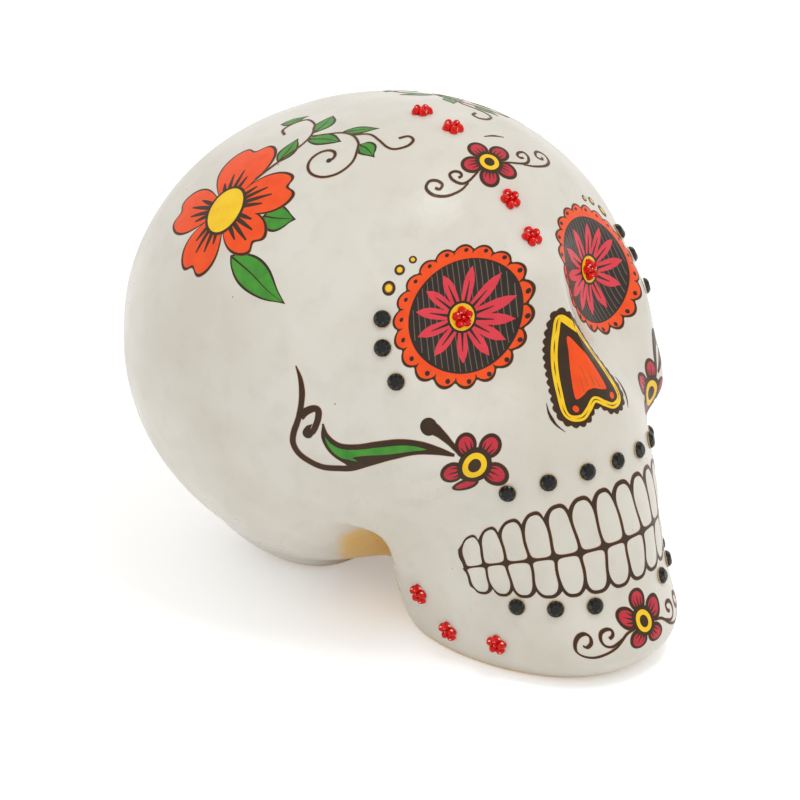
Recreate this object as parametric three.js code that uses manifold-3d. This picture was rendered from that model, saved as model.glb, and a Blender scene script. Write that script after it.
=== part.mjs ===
// A painted sugar skull: a moulded skin round a foam filling, with printed transfers and glued-on gems.
// Millimetres, +Z up. It stands on z = 0 with its face toward -Y, and its two sides mirror each other.
import * as THREE from 'three';
import { mergeVertices } from 'three/addons/utils/BufferGeometryUtils.js';
import Module from 'manifold-3d';

// Overall: across the cranium, from the chin to the back of the head, and from the ground to the top.
const WIDTH = 143;
const LENGTH = 173;
const HEIGHT = 137;

// Eyes: round transfers that lie in shallow dished sockets, either side of the top of the nose.
const EYE_DIAMETER = 39;
const EYE_TO_NOSE = 1.9;
const EYE_DEPTH = -0.224 * LENGTH;
const EYE_HEIGHT = 0.701 * HEIGHT;
const SOCKET_RADIUS = 32;
const SOCKET_TURN = 13;
const SOCKET_TILT = 12;

// Nose: a transfer that is narrow between the eyes and wide above the lip.
const NOSE_TOP_WIDTH = 4;
const NOSE_BOTTOM_WIDTH = 21;
const NOSE_TOP_HEIGHT = 0.708 * HEIGHT;
const NOSE_BOTTOM_HEIGHT = 0.489 * HEIGHT;

// Skull: rounded masses that melt into one another. The centre and half sizes of each are shares of the
// overall width, length and height. lean tips a mass about X in degrees. plan and rise are the powers of its
// rounding, where 2 is an ellipse. A mass off the middle is given for the +X side. rearShare is for a mass that
// is shorter behind its centre than in front.
const CRANIUM = {
  centreShare: [0, 0.107, 0.493], halfShare: [0.5, 0.387, 0.46], lean: 2, plan: 2.1, rise: 2.1,
};
const FOREHEAD = {
  centreShare: [0, -0.012, 0.62], halfShare: [0.301, 0.223, 0.354], lean: 0, plan: 2.1, rise: 2.1,
};
const NECK = {
  centreShare: [0, 0.191, 0.19], halfShare: [0.283, 0.185, 0.23], lean: 0, plan: 2.2, rise: 2.2,
};
const BROW = {
  centreShare: [0.206, -0.156, 0.58], halfShare: [0.119, 0.121, 0.15], lean: 0, plan: 2, rise: 2,
};
const CHEEKBONE = {
  centreShare: [0.252, -0.173, 0.449], halfShare: [0.077, 0.116, 0.066], lean: 0, plan: 2, rise: 2,
};
const FACE = {
  centreShare: [0, -0.217, 0.577], halfShare: [0.189, 0.121, 0.208], lean: 0, plan: 2.2, rise: 2.2,
};
const MUZZLE = {
  centreShare: [0, -0.202, 0.234], halfShare: [0.227, 0.249, 0.303], lean: -9.5, plan: 2.1, rise: 3.2,
  rearShare: 0.22,
};
const NOSE = {
  centreShare: [0, -0.301, 0.526], halfShare: [0.084, 0.052, 0.095], lean: 0, plan: 2, rise: 2,
};
const CHIN = {
  centreShare: [0, -0.338, 0.073], halfShare: [0.164, 0.156, 0.077], lean: 0, plan: 2.2, rise: 2.2,
};
const JAW_NOTCH = {
  centreShare: [0.364, -0.065, 0.058], halfShare: [0.22, 0.038, 0.215], lean: 10, plan: 2, rise: 2,
};
const THROAT = {
  centreShare: [0, 0, 0], halfShare: [0.28, 0.087, 0.08], lean: 0, plan: 2, rise: 2,
};
const MASS_BLEND = 5;
const HOLLOW_BLEND = 3;

// Places on the skull are aims: a bearing and an elevation in degrees, seen from the heart of the skull.
// Bearing 0 is the middle of the face, and elevation 90 is straight up.
const HEART = new THREE.Vector3(0, -0.058 * LENGTH, 0.438 * HEIGHT);

// Body: the skin is open at its flat underside, and the foam fills it level with the rim.
const SKIN_WALL = 3;
const FOAM_CLEARANCE = 0.3;
const OUTSIDE_FACETS = [88, 60];
const INSIDE_FACETS = [36, 24];

// Transfers: thin films that follow the skin.
const FILM_THICKNESS = 0.4;
const FILM_GAP = 0.5;
const TEETH = { height: 0.292 * HEIGHT, endDrop: 7.5, sweep: 70, frontSpan: 27, endSpan: 17 };
const FOREHEAD_FLOWER = { elevation: 79, width: 50, span: 15 };
const CHIN_FLOWER = { drop: 12, width: 36, span: 13 };
const CHEEK_FLOWER = { aim: [36.5, 1.6], diameter: 17 };
const CROWN_FLOWER = { aim: [122, 42], diameter: 41 };
const CHEEK_LEAF = {
  turn: 20, aims: [[61.5, 4.5], [72, 3], [80, 5], [82.5, 14], [85, 23]], width: 10, endWidth: 4,
};
const CROWN_VINE = { turn: 95, aims: [[127, 66], [117, 74], [105, 81]], width: 13, endWidth: 5 };
const FILM_SPACING = 1;
const BROW_DOTS = { turns: [26, 62], width: 4.5 };

// Gems: black round stones and red five-petalled blossoms.
const SEAT_GAP = 0.3;
const STONE = { diameter: 5, girdle: 0.7, height: 1.7, table: 3, sides: 10, petals: 0, petalDepth: 0 };
const BLOSSOM = { diameter: 6, girdle: 0.9, height: 1.9, table: 3, sides: 20, petals: 5, petalDepth: 0.15 };
const FOREHEAD_BLOSSOMS = [99, 90, 70, 60];
const JAW_BLOSSOMS = [[55, -48], [43.5, -49], [30.5, -41.5]];
const TEMPLE_STONES = { turns: [12, -8, -33], offset: 4.6 };
const LIP_STONES = { bearings: [14.5, 30.5, 47], gap: 3.2 };
const CHIN_STONES = { bearings: [16, 29, 42.5], gap: 0.8 };

const COLOURS = {
  paint: '#d6d3c6', foam: '#bd9450', red: '#e02818', black: '#15130f', orange: '#f5581c',
  yellow: '#fcd025', brown: '#4b371e', pink: '#d8444a', green: '#4b9632',
};
const SIDES = { left: -1, right: 1 };

const wasm = await Module();
wasm.setup();

const radians = THREE.MathUtils.degToRad;

function unitFrom(bearing, elevation) {
  const level = Math.cos(radians(elevation));
  const across = level * Math.sin(radians(bearing));
  return new THREE.Vector3(across, -level * Math.cos(radians(bearing)), Math.sin(radians(elevation)));
}

// The socket is a ball that dishes the face, centred out in front of the eye.
const EYE_ACROSS = NOSE_TOP_WIDTH / 2 + EYE_TO_NOSE + EYE_DIAMETER / 2;
const EYE_POINT = new THREE.Vector3(EYE_ACROSS, EYE_DEPTH, EYE_HEIGHT);
const SOCKET_CENTRE = unitFrom(SOCKET_TURN, SOCKET_TILT).multiplyScalar(SOCKET_RADIUS).add(EYE_POINT);
const SOCKET = {
  centre: SOCKET_CENTRE.toArray(), half: Array(3).fill(SOCKET_RADIUS), rear: SOCKET_RADIUS,
  lean: 0, plan: 2, rise: 2,
};
const sized = (shares) => [shares[0] * WIDTH, shares[1] * LENGTH, shares[2] * HEIGHT];
const sizedMass = (mass) => ({
  ...mass,
  centre: sized(mass.centreShare),
  half: sized(mass.halfShare),
  rear: (mass.rearShare ?? mass.halfShare[1]) * LENGTH,
});
const MASSES = [CRANIUM, FOREHEAD, NECK, BROW, CHEEKBONE, FACE, MUZZLE, NOSE, CHIN].map(sizedMass);
const HOLLOWS = [sizedMass(JAW_NOTCH), sizedMass(THROAT), SOCKET];
const MUZZLE_AXIS = sizedMass(MUZZLE).centre[1];
const REACH = WIDTH + LENGTH;
const SEARCH_STEP = 2;

// Near-distance from a point, folded to the +X side, to the surface of one mass.
function massDistance(point, mass) {
  const lean = radians(mass.lean);
  const back = point.y - mass.centre[1];
  const up = point.z - mass.centre[2];
  const along = Math.cos(lean) * back + Math.sin(lean) * up;
  const [halfX, frontY, halfZ] = mass.half;
  const halfY = along > 0 ? mass.rear : frontY;
  const tiny = 1e-6;
  const x = Math.abs(point.x - mass.centre[0]) / halfX + tiny;
  const y = Math.abs(along) / halfY + tiny;
  const z = Math.abs(Math.cos(lean) * up - Math.sin(lean) * back) / halfZ + tiny;
  const ring = (x ** mass.plan + y ** mass.plan) ** (1 / mass.plan);
  const size = (ring ** mass.rise + z ** mass.rise) ** (1 / mass.rise);
  const ringShare = (ring / size) ** (mass.rise - 1);
  const slopeX = ringShare * (x / ring) ** (mass.plan - 1) / halfX;
  const slopeY = ringShare * (y / ring) ** (mass.plan - 1) / halfY;
  const slopeZ = (z / size) ** (mass.rise - 1) / halfZ;
  return (size - 1) / Math.hypot(slopeX, slopeY, slopeZ);
}

function smoothLeast(values, blend) {
  const least = Math.min(...values);
  const total = values.reduce((sum, value) => sum + Math.exp((least - value) / blend), 0);
  return least - blend * Math.log(total);
}

// Below zero inside the skull, above zero outside it.
function skullField(point) {
  const folded = new THREE.Vector3(Math.abs(point.x), point.y, point.z);
  let field = smoothLeast(MASSES.map((mass) => massDistance(folded, mass)), MASS_BLEND);
  for (const hollow of HOLLOWS) {
    field = -smoothLeast([-field, massDistance(folded, hollow)], HOLLOW_BLEND);
  }
  return field;
}

// The first point where a ray from inside the skull meets the surface, or one that lies deeper by depth.
function surfacePoint(origin, direction, depth = 0) {
  const unit = direction.clone().normalize();
  const isInside = (reach) => skullField(origin.clone().addScaledVector(unit, reach)) + depth < 0;
  let outside = SEARCH_STEP;
  while (outside < REACH && isInside(outside)) {
    outside += SEARCH_STEP;
  }
  let inside = outside - SEARCH_STEP;
  for (let step = 0; step < 24; step += 1) {
    const middle = (inside + outside) / 2;
    if (isInside(middle)) {
      inside = middle;
    } else {
      outside = middle;
    }
  }
  return origin.clone().addScaledVector(unit, inside);
}

function surfaceNormal(point) {
  const probe = SKIN_WALL / 10;
  const slope = ['x', 'y', 'z'].map((axis) => {
    const ahead = point.clone();
    const behind = point.clone();
    ahead[axis] += probe;
    behind[axis] -= probe;
    return skullField(ahead) - skullField(behind);
  });
  return new THREE.Vector3(...slope).normalize();
}

// A seat on the skull: its point, its outward normal, and the directions across and up along the surface.
function seatAt(point, side = 1) {
  const normal = surfaceNormal(point);
  const nearlyFlat = 0.9;
  const hint = normal.z > nearlyFlat ? new THREE.Vector3(0, 1, 0) : new THREE.Vector3(0, 0, 1);
  const up = hint.addScaledVector(normal, -hint.dot(normal)).normalize();
  const across = new THREE.Vector3().crossVectors(up, normal);
  return { point, normal, up, across: across.clone().multiplyScalar(side), right: across };
}

function aimSeat([bearing, elevation], side = 1) {
  return seatAt(surfacePoint(HEART, unitFrom(bearing * side, elevation)), side);
}

// A place on the surface that lies across and up from a seat.
function besideSeat(seat, across, up) {
  const reached = seat.point.clone().addScaledVector(seat.across, across).addScaledVector(seat.up, up);
  return surfacePoint(HEART, reached.sub(HEART));
}

// A closed geometry with shared vertices, no collapsed triangles and its faces outward.
function closedGeometry(source) {
  const bare = source.clone();
  bare.deleteAttribute('normal');
  bare.deleteAttribute('uv');
  const merged = mergeVertices(bare, FOAM_CLEARANCE / 1000);
  const corners = merged.index.array;
  const kept = [];
  for (let start = 0; start < corners.length; start += 3) {
    const [a, b, c] = corners.slice(start, start + 3);
    if (a !== b && b !== c && c !== a) {
      kept.push(a, b, c);
    }
  }
  merged.setIndex(kept);
  return facingOut(merged);
}

function facingOut(geometry) {
  const place = geometry.getAttribute('position');
  const corners = geometry.index.array;
  const corner = (slot) => new THREE.Vector3().fromBufferAttribute(place, corners[slot]);
  let volume = 0;
  for (let start = 0; start < corners.length; start += 3) {
    volume += corner(start).dot(corner(start + 1).cross(corner(start + 2)));
  }
  if (volume < 0) {
    geometry.setIndex(Array.from(corners).reverse());
  }
  return geometry;
}

function toSolid(geometry) {
  const vertProperties = new Float32Array(geometry.getAttribute('position').array);
  const triVerts = new Uint32Array(geometry.index.array);
  return new wasm.Manifold(new wasm.Mesh({ numProp: 3, vertProperties, triVerts }));
}

function fromSolid(solid) {
  const mesh = solid.getMesh();
  const geometry = new THREE.BufferGeometry();
  geometry.setAttribute('position', new THREE.BufferAttribute(mesh.vertProperties.slice(), 3));
  geometry.setIndex(Array.from(mesh.triVerts));
  return geometry;
}

// The skull's surface, or one that lies deeper, as a ball drawn out from the heart. Its poles lie fore and aft.
function skullGeometry(facets, depth) {
  const ball = closedGeometry(new THREE.SphereGeometry(1, ...facets).rotateX(Math.PI / 2));
  const place = ball.getAttribute('position');
  for (let slot = 0; slot < place.count; slot += 1) {
    const direction = new THREE.Vector3().fromBufferAttribute(place, slot);
    place.setXYZ(slot, ...surfacePoint(HEART, direction, depth));
  }
  return ball;
}

function namedMesh(name, geometry, colour, roughness) {
  geometry.computeVertexNormals();
  const material = new THREE.MeshStandardMaterial({ color: colour, roughness, metalness: 0 });
  const mesh = new THREE.Mesh(geometry, material);
  mesh.name = name;
  return mesh;
}

const ground = new THREE.BoxGeometry(2 * REACH, 2 * REACH, REACH).translate(0, 0, -REACH / 2);
const groundSolid = toSolid(closedGeometry(ground));

function makeSkin() {
  const outside = toSolid(skullGeometry(OUTSIDE_FACETS, 0));
  const inside = toSolid(skullGeometry(INSIDE_FACETS, SKIN_WALL));
  const shell = outside.subtract(inside).subtract(groundSolid);
  return namedMesh('skull_skin', fromSolid(shell), COLOURS.paint, 0.45);
}

function makeCore() {
  const filling = toSolid(skullGeometry(INSIDE_FACETS, SKIN_WALL + FOAM_CLEARANCE));
  return namedMesh('foam_core', fromSolid(filling.subtract(groundSolid)), COLOURS.foam, 0.9);
}

// A film that follows the skin: pointAt gives the surface point for u and v, which run from -1 to 1.
function makeFilm(name, colour, columns, rows, pointAt) {
  const flat = new THREE.PlaneGeometry(2, 2, columns, rows);
  const grid = flat.getAttribute('position');
  const under = [];
  const over = [];
  for (let slot = 0; slot < grid.count; slot += 1) {
    const point = pointAt(grid.getX(slot), grid.getY(slot));
    const normal = surfaceNormal(point);
    under.push(...point.clone().addScaledVector(normal, FILM_GAP));
    over.push(...point.clone().addScaledVector(normal, FILM_GAP + FILM_THICKNESS));
  }
  const corners = Array.from(flat.index.array);
  const faces = [...corners.map((corner) => corner + grid.count), ...corners.slice().reverse()];
  for (const [from, to] of rimEdges(corners)) {
    faces.push(from, to, to + grid.count, from, to + grid.count, from + grid.count);
  }
  const geometry = new THREE.BufferGeometry();
  geometry.setAttribute('position', new THREE.Float32BufferAttribute([...under, ...over], 3));
  geometry.setIndex(faces);
  return namedMesh(name, facingOut(geometry), colour, 0.4);
}

// The directed edges that only one triangle uses.
function rimEdges(corners) {
  const edges = new Map();
  for (let start = 0; start < corners.length; start += 3) {
    for (let turn = 0; turn < 3; turn += 1) {
      const edge = [corners[start + turn], corners[start + (turn + 1) % 3]];
      edges.set(edge.join(), edge);
    }
  }
  return [...edges.values()].filter(([from, to]) => !edges.has([to, from].join()));
}

// An oval film round a seat.
function ovalFilm(name, colour, facets, seat, width, span) {
  return makeFilm(name, colour, facets, facets, (u, v) => {
    const reach = Math.max(Math.abs(u), Math.abs(v));
    const turn = Math.atan2(v, u);
    return besideSeat(seat, reach * Math.cos(turn) * width / 2, reach * Math.sin(turn) * span / 2);
  });
}

// A ribbon of film along a route of surface points, narrower at both ends.
function ribbonFilm(name, colour, columns, route, width, endWidth) {
  const curve = new THREE.CatmullRomCurve3(route, false, 'centripetal');
  return makeFilm(name, colour, columns, 2, (u, v) => {
    const along = (u + 1) / 2;
    const middle = curve.getPoint(along);
    const outward = middle.clone().sub(HEART);
    const across = outward.clone().cross(curve.getTangent(along)).normalize();
    const half = THREE.MathUtils.lerp(endWidth, width, Math.sin(Math.PI * along)) / 2;
    return surfacePoint(HEART, outward.addScaledVector(across, v * half));
  });
}

function makeNose() {
  return makeFilm('nose_transfer', COLOURS.orange, 4, 7, (u, v) => {
    const share = (v + 1) / 2;
    const width = THREE.MathUtils.lerp(NOSE_BOTTOM_WIDTH, NOSE_TOP_WIDTH, share);
    const height = THREE.MathUtils.lerp(NOSE_BOTTOM_HEIGHT, NOSE_TOP_HEIGHT, share);
    const inside = new THREE.Vector3(0, HEART.y, height);
    const front = surfacePoint(inside, new THREE.Vector3(0, -1, 0));
    return surfacePoint(HEART, front.setX(u * width / 2).sub(HEART));
  });
}

// A place round the muzzle, at a bearing seen from the muzzle's own axis.
function aroundMuzzle(bearing, height) {
  return surfacePoint(new THREE.Vector3(0, MUZZLE_AXIS, height), unitFrom(bearing, 0));
}

// The height of a line along the teeth: edge 1 is the top of the upper row, and -1 the bottom of the lower row.
function teethHeight(bearing, edge) {
  const share = (bearing / TEETH.sweep) ** 2;
  const span = THREE.MathUtils.lerp(TEETH.frontSpan, TEETH.endSpan, share);
  return TEETH.height - TEETH.endDrop * share + edge * span / 2;
}

function makeTeeth() {
  return makeFilm('teeth_transfer', COLOURS.brown, 18, 4, (u, v) => {
    const bearing = u * TEETH.sweep;
    return aroundMuzzle(bearing, teethHeight(bearing, v));
  });
}

// A stone beyond one edge of the teeth.
function besideTeeth(bearing, edge, gap) {
  const height = teethHeight(bearing, edge) + edge * (gap + STONE.diameter / 2);
  return seatAt(aroundMuzzle(bearing, height));
}

function eyeSeat(side) {
  const aim = EYE_POINT.clone().sub(HEART);
  return seatAt(surfacePoint(HEART, aim.setX(aim.x * side)), side);
}

// A place round the eye, offset outward from the edge of its transfer. Turn 0 faces the temple.
function besideEye(side, turn, offset) {
  const reach = EYE_DIAMETER / 2 + offset;
  return besideSeat(eyeSeat(side), reach * Math.cos(radians(turn)), reach * Math.sin(radians(turn)));
}

// A film's route that starts just clear of a flower, at a turn up from the outward side, and goes on by aims.
function routeFrom(flower, diameter, path, side) {
  const reach = diameter / 2 + FILM_SPACING + path.endWidth / 2;
  const turn = radians(path.turn);
  const start = besideSeat(flower, reach * Math.cos(turn), reach * Math.sin(turn));
  return [start, ...path.aims.map((aim) => aimSeat(aim, side).point)];
}

function makeBrowDots(name, side) {
  return makeFilm(name, COLOURS.yellow, 6, 2, (u, v) => {
    const turn = THREE.MathUtils.lerp(...BROW_DOTS.turns, (u + 1) / 2);
    return besideEye(side, turn, FILM_SPACING + BROW_DOTS.width * (v + 1) / 2);
  });
}

// A cut gem with a flat back: a girdle, sloping facets and a table, with petals if it has any.
function gemGeometry(gem) {
  const outline = [[0, 0], [gem.diameter / 2, 0], [gem.diameter / 2, gem.girdle], [gem.table / 2, gem.height]];
  const profile = [...outline, [0, gem.height]].map(([out, up]) => new THREE.Vector2(out, up));
  const geometry = closedGeometry(new THREE.LatheGeometry(profile, gem.sides).rotateX(Math.PI / 2));
  const place = geometry.getAttribute('position');
  for (let slot = 0; slot < place.count; slot += 1) {
    const turn = Math.atan2(place.getY(slot), place.getX(slot));
    const share = 1 - gem.petalDepth * (1 - Math.cos(gem.petals * turn));
    place.setX(slot, place.getX(slot) * share);
    place.setY(slot, place.getY(slot) * share);
  }
  return geometry;
}

// How far what lies under a gem stands out from the gem's seat, measured at spots under its back.
function standOut(seat, gem, carriers) {
  const rim = gem.diameter / 2;
  const spots = [[0, 0]];
  for (let step = 0; step < gem.sides; step += 1) {
    const turn = step * 2 * Math.PI / gem.sides;
    for (const reach of [rim, rim / 2]) {
      spots.push([reach * Math.cos(turn), reach * Math.sin(turn)]);
    }
  }
  const heights = spots.map(([across, up]) => {
    const start = seat.point.clone().addScaledVector(seat.normal, gem.diameter);
    start.addScaledVector(seat.right, across).addScaledVector(seat.up, up);
    const [hit] = new THREE.Raycaster(start, seat.normal.clone().negate()).intersectObjects(carriers);
    return gem.diameter - hit.distance;
  });
  return Math.max(...heights);
}

function seatedGem(name, gem, colour, seat, carriers) {
  const mesh = namedMesh(name, gemGeometry(gem), colour, 0.1);
  const lift = standOut(seat, gem, carriers) + SEAT_GAP;
  mesh.quaternion.setFromRotationMatrix(new THREE.Matrix4().makeBasis(seat.right, seat.up, seat.normal));
  mesh.position.copy(seat.point).addScaledVector(seat.normal, lift);
  return mesh;
}

function makeMiddleFilms() {
  const forehead = aimSeat([0, FOREHEAD_FLOWER.elevation]);
  const chin = seatAt(aroundMuzzle(0, teethHeight(0, -1) - CHIN_FLOWER.drop));
  return [
    makeNose(),
    makeTeeth(),
    ovalFilm('forehead_flower', COLOURS.pink, 8, forehead, FOREHEAD_FLOWER.width, FOREHEAD_FLOWER.span),
    ovalFilm('chin_flower', COLOURS.pink, 8, chin, CHIN_FLOWER.width, CHIN_FLOWER.span),
  ];
}

function makeSideFilms(word, side) {
  const cheek = aimSeat(CHEEK_FLOWER.aim, side);
  const crown = aimSeat(CROWN_FLOWER.aim, side);
  const leaf = routeFrom(cheek, CHEEK_FLOWER.diameter, CHEEK_LEAF, side);
  const vine = routeFrom(crown, CROWN_FLOWER.diameter, CROWN_VINE, side);
  return [
    ovalFilm(`eye_transfer_${word}`, COLOURS.orange, 14, eyeSeat(side), EYE_DIAMETER, EYE_DIAMETER),
    ovalFilm(`cheek_flower_${word}`, COLOURS.pink, 6, cheek, CHEEK_FLOWER.diameter, CHEEK_FLOWER.diameter),
    ovalFilm(`crown_flower_${word}`, COLOURS.orange, 7, crown, CROWN_FLOWER.diameter, CROWN_FLOWER.diameter),
    ribbonFilm(`cheek_leaf_${word}`, COLOURS.green, 16, leaf, CHEEK_LEAF.width, CHEEK_LEAF.endWidth),
    ribbonFilm(`crown_vine_${word}`, COLOURS.green, 14, vine, CROWN_VINE.width, CROWN_VINE.endWidth),
    makeBrowDots(`brow_dots_${word}`, side),
  ];
}

function makeMiddleGems(carriers) {
  const lip = besideTeeth(0, 1, LIP_STONES.gap);
  const stone = seatedGem('lip_stone_middle', STONE, COLOURS.black, lip, carriers);
  const blossoms = FOREHEAD_BLOSSOMS.map((elevation, index) => {
    const name = `forehead_blossom_${index + 1}`;
    return seatedGem(name, BLOSSOM, COLOURS.red, aimSeat([0, elevation]), carriers);
  });
  return [stone, ...blossoms];
}

function makeSideGems(word, side, carriers) {
  const stone = (name, seat) => seatedGem(name, STONE, COLOURS.black, seat, carriers);
  const blossom = (name, seat) => seatedGem(name, BLOSSOM, COLOURS.red, seat, carriers);
  const temple = TEMPLE_STONES.turns.map((turn, index) => {
    const seat = seatAt(besideEye(side, turn, TEMPLE_STONES.offset));
    return stone(`temple_stone_${word}_${index + 1}`, seat);
  });
  const lip = LIP_STONES.bearings.map((bearing, index) => {
    return stone(`lip_stone_${word}_${index + 1}`, besideTeeth(bearing * side, 1, LIP_STONES.gap));
  });
  const chin = CHIN_STONES.bearings.map((bearing, index) => {
    return stone(`chin_stone_${word}_${index + 1}`, besideTeeth(bearing * side, -1, CHIN_STONES.gap));
  });
  const jaw = JAW_BLOSSOMS.map((aim, index) => blossom(`jaw_blossom_${word}_${index + 1}`, aimSeat(aim, side)));
  return [blossom(`eye_blossom_${word}`, eyeSeat(side)), ...temple, ...lip, ...chin, ...jaw];
}

const skull = new THREE.Group();
const skin = makeSkin();
const sides = Object.entries(SIDES);
const films = [...makeMiddleFilms(), ...sides.flatMap(([word, side]) => makeSideFilms(word, side))];
const carriers = [skin, ...films];
skull.add(...carriers, makeCore(), ...makeMiddleGems(carriers));
for (const [word, side] of sides) {
  skull.add(...makeSideGems(word, side, carriers));
}

export default skull;
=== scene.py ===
"""Looks of a painted sugar skull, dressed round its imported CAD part.

Shapes are worked out in millimetres in the part's own frame and stored in metres. +Z is up, the face looks
toward -Y, and left is -X. The skin follows the same rounded masses as the part's source, but its recess
behind the jaw has a steeper front edge.
"""
import math

import bmesh
import bpy
import numpy as np
from mathutils import Matrix, Vector


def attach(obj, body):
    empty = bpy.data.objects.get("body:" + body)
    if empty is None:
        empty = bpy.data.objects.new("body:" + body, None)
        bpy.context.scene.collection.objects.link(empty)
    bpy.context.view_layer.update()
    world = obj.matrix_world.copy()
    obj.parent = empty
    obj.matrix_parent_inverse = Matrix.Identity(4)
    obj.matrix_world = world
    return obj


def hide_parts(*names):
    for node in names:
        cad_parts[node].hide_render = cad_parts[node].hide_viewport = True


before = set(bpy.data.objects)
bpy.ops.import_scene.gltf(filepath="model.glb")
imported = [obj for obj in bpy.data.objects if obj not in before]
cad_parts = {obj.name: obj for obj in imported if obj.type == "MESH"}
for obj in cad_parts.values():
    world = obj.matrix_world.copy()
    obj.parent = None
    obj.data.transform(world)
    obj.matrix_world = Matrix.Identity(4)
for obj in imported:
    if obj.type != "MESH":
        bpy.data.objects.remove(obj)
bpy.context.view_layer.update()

MM = 0.001
WHITE = (1, 1, 1, 1)
SIDES = {"left": -1, "right": 1}

# Overall sizes, and the rounded masses as shares of them: centre, half sizes, lean in degrees, and the powers
# of the rounding in plan and in rise. A mass off the middle is given for the +X side.
WIDTH, LENGTH, HEIGHT = 143.0, 173.0, 137.0
SIZES = np.array([WIDTH, LENGTH, HEIGHT])
MASSES = {
    "cranium": ((0, 0.107, 0.493), (0.5, 0.387, 0.46), 2, 2.1, 2.1),
    "forehead": ((0, -0.012, 0.62), (0.301, 0.223, 0.354), 0, 2.1, 2.1),
    "neck": ((0, 0.191, 0.19), (0.283, 0.185, 0.23), 0, 2.2, 2.2),
    "brow": ((0.206, -0.156, 0.58), (0.119, 0.121, 0.15), 0, 2, 2),
    "cheekbone": ((0.252, -0.173, 0.449), (0.077, 0.116, 0.066), 0, 2, 2),
    "face": ((0, -0.217, 0.577), (0.189, 0.121, 0.208), 0, 2.2, 2.2),
    "muzzle": ((0, -0.202, 0.234), (0.227, 0.249, 0.303), -9.5, 2.1, 3.2),
    "nose": ((0, -0.301, 0.526), (0.084, 0.052, 0.095), 0, 2, 2),
    "chin": ((0, -0.338, 0.073), (0.164, 0.156, 0.077), 0, 2.2, 2.2),
}
MUZZLE_REAR = 0.22
JAW_NOTCH = ((0.364, -0.047, 0.058), (0.22, 0.037, 0.215), 26, 2, 2.45)
THROAT = ((0, 0, 0), (0.28, 0.087, 0.08), 0, 2, 2)
MASS_BLEND = 5.0
HOLLOW_BLEND = 3.0
SKIN_WALL = 3.0

EYE_DIAMETER = 39.0
NOSE_TOP_WIDTH = 4.0
EYE_TO_NOSE = 1.9
EYE_POINT = np.array([NOSE_TOP_WIDTH / 2 + EYE_TO_NOSE + EYE_DIAMETER / 2, -0.224 * LENGTH, 0.701 * HEIGHT])
SOCKET_RADIUS = 32.0
SOCKET_TURN = 13.0
SOCKET_TILT = 12.0

# Places are seen from the heart of the skull, by bearing and elevation in degrees.
HEART = np.array([0, -0.058 * LENGTH, 0.438 * HEIGHT])
MUZZLE_AXIS = -0.202 * LENGTH


def unit_from(bearing, elevation):
    """The direction at a bearing from the middle of the face and an elevation from level."""
    turn = np.radians(bearing)
    rise = np.radians(elevation)
    level = np.cos(rise)
    return np.stack([level * np.sin(turn), -level * np.cos(turn), np.sin(rise) + 0 * turn], -1)


def as_units(vectors):
    return vectors / np.linalg.norm(vectors, axis=-1, keepdims=True)


def mass_distance(points, centre, half, rear, lean, plan, rise):
    """Near-distance from points, folded to the +X side, to the surface of one mass."""
    tilt = math.radians(lean)
    offset = points - np.array(centre)
    along = math.cos(tilt) * offset[:, 1] + math.sin(tilt) * offset[:, 2]
    above = math.cos(tilt) * offset[:, 2] - math.sin(tilt) * offset[:, 1]
    half_x, front, half_z = half
    half_y = np.where(along > 0, rear, front)
    tiny = 1e-6
    x = np.abs(offset[:, 0]) / half_x + tiny
    y = np.abs(along) / half_y + tiny
    z = np.abs(above) / half_z + tiny
    ring = (x ** plan + y ** plan) ** (1 / plan)
    size = (ring ** rise + z ** rise) ** (1 / rise)
    ring_share = (ring / size) ** (rise - 1)
    slope_x = ring_share * (x / ring) ** (plan - 1) / half_x
    slope_y = ring_share * (y / ring) ** (plan - 1) / half_y
    slope_z = (z / size) ** (rise - 1) / half_z
    return (size - 1) / np.sqrt(slope_x ** 2 + slope_y ** 2 + slope_z ** 2)


def sized(mass, rear_share=None):
    """A mass with its shares turned into millimetres. Its rear half can be shorter than its front half."""
    centre, half, lean, plan, rise = mass
    rear = (half[1] if rear_share is None else rear_share) * LENGTH
    return np.array(centre) * SIZES, np.array(half) * SIZES, rear, lean, plan, rise


SIZED_MASSES = [sized(mass, MUZZLE_REAR if name == "muzzle" else None) for name, mass in MASSES.items()]
SOCKET_CENTRE = EYE_POINT + SOCKET_RADIUS * unit_from(SOCKET_TURN, SOCKET_TILT)
SOCKET = (SOCKET_CENTRE, np.full(3, SOCKET_RADIUS), SOCKET_RADIUS, 0, 2, 2)
HOLLOWS = [sized(JAW_NOTCH), sized(THROAT), SOCKET]


def smooth_least(values, blend):
    least = np.min(values, axis=0)
    return least - blend * np.log(np.sum(np.exp((least - values) / blend), axis=0))


def fold(points):
    """Points moved to the +X side, since the skull's two sides mirror each other."""
    return np.stack([np.abs(points[:, 0]), points[:, 1], points[:, 2]], -1)


def skull_field(points):
    """Below zero inside the skull, above zero outside it."""
    folded = fold(points)
    value = smooth_least(np.array([mass_distance(folded, *mass) for mass in SIZED_MASSES]), MASS_BLEND)
    for hollow in HOLLOWS:
        value = -smooth_least(np.array([-value, mass_distance(folded, *hollow)]), HOLLOW_BLEND)
    return value


def surface_points(origins, directions, depth=0.0):
    """Where rays from inside the skull first meet its surface, or a surface that lies deeper."""
    units = as_units(directions)
    reach = np.zeros(len(units))

    def field_at(distance):
        return skull_field(origins + distance[:, None] * units) + depth

    march_steps, march_share = 18, 0.9
    for _ in range(march_steps):
        reach = reach - march_share * field_at(reach)
    refine_steps, probe, least_slope = 6, 0.02, 0.15
    for _ in range(refine_steps):
        here = field_at(reach)
        slope = np.maximum((field_at(reach + probe) - here) / probe, least_slope)
        reach = reach - here / slope
    return origins + reach[:, None] * units


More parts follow.
